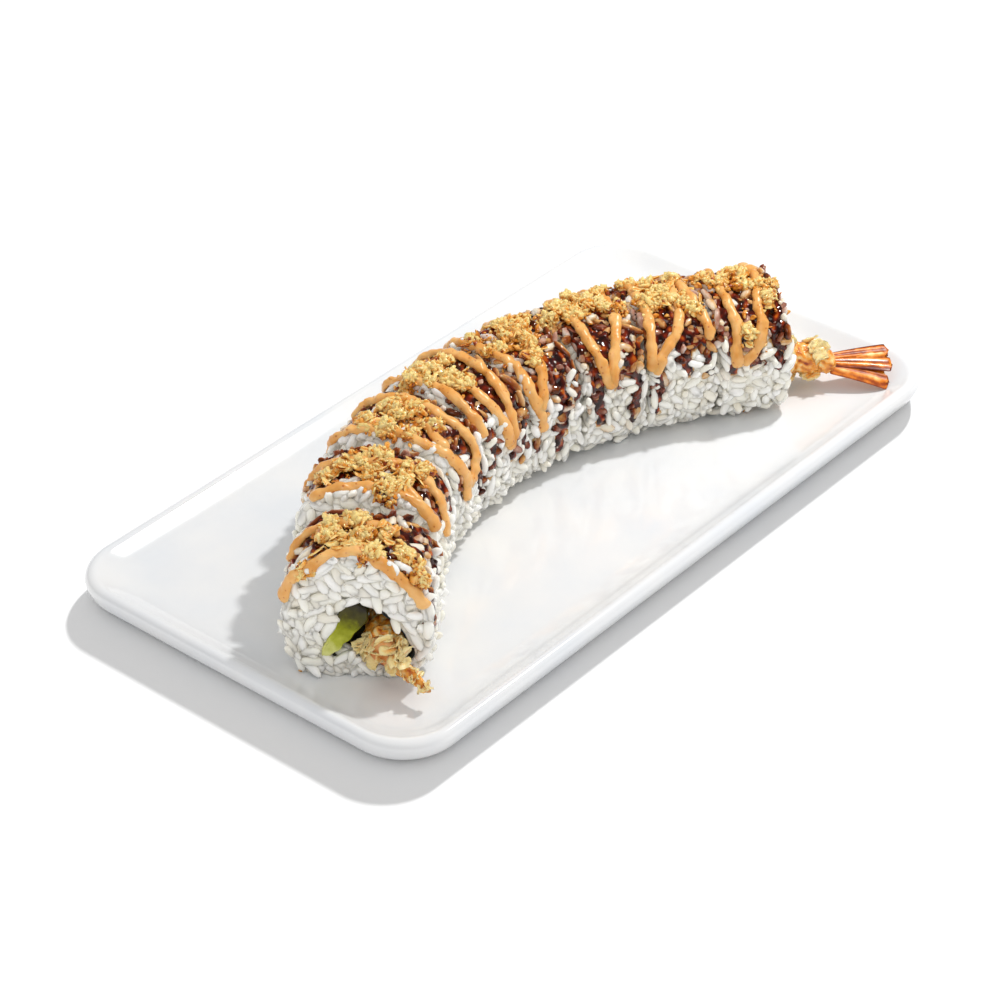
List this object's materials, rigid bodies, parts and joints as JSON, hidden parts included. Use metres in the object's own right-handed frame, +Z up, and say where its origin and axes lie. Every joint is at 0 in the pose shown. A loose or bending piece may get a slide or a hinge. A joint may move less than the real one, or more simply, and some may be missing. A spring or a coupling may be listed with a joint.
{
  "type": "maki sushi roll on a plate",
  "caption": "Shrimp tempura maki roll cut into slices and fanned in an arc on an oblong white porcelain plate, topped with fried crunch.",
  "frame": {"origin": "centre of the plate's underside, on the surface that it stands on", "axes": "+X along the plate towards the shrimp's tail, +Y to the side that the arc bulges towards, +Z up"},
  "size_m": [0.3, 0.1574, 0.0555],
  "materials": {
    "porcelain": "glossy white glaze",
    "rice": "moist sticky rice, white and slightly translucent",
    "nori": "moist black-green seaweed",
    "avocado": "soft cut avocado, yellow-green to dark green",
    "shrimp": "moist fried shrimp meat",
    "batter": "crisp golden tempura batter",
    "tail": "glossy fried shrimp shell",
    "crunch": "crisp golden fried crumbs",
    "mayo": "spicy mayonnaise, satin orange-tan",
    "eel_sauce": "glossy dark red-brown sauce"
  },
  "bodies": {
    "root": {"plate": "porcelain", "rice_1": "rice", "nori_1": "nori", "avocado_1": "avocado", "shrimp_1": "shrimp", "batter_1": "batter", "crunch_1": "crunch", "rice_2": "rice", "nori_2": "nori", "avocado_2": "avocado", "shrimp_2": "shrimp", "batter_2": "batter", "crunch_2": "crunch", "rice_3": "rice", "nori_3": "nori", "avocado_3": "avocado", "shrimp_3": "shrimp", "batter_3": "batter", "crunch_3": "crunch", "rice_4": "rice", "nori_4": "nori", "avocado_4": "avocado", "shrimp_4": "shrimp", "batter_4": "batter", "crunch_4": "crunch", "rice_5": "rice", "nori_5": "nori", "avocado_5": "avocado", "shrimp_5": "shrimp", "batter_5": "batter", "crunch_5": "crunch", "rice_6": "rice", "nori_6": "nori", "avocado_6": "avocado", "shrimp_6": "shrimp", "batter_6": "batter", "crunch_6": "crunch", "rice_7": "rice", "nori_7": "nori", "avocado_7": "avocado", "shrimp_7": "shrimp", "batter_7": "batter", "crunch_7": "crunch", "rice_8": "rice", "nori_8": "nori", "avocado_8": "avocado", "shrimp_8": "shrimp", "batter_8": "batter", "crunch_8": "crunch", "shrimp_tail": "tail"}
  },
  "joints": []
}
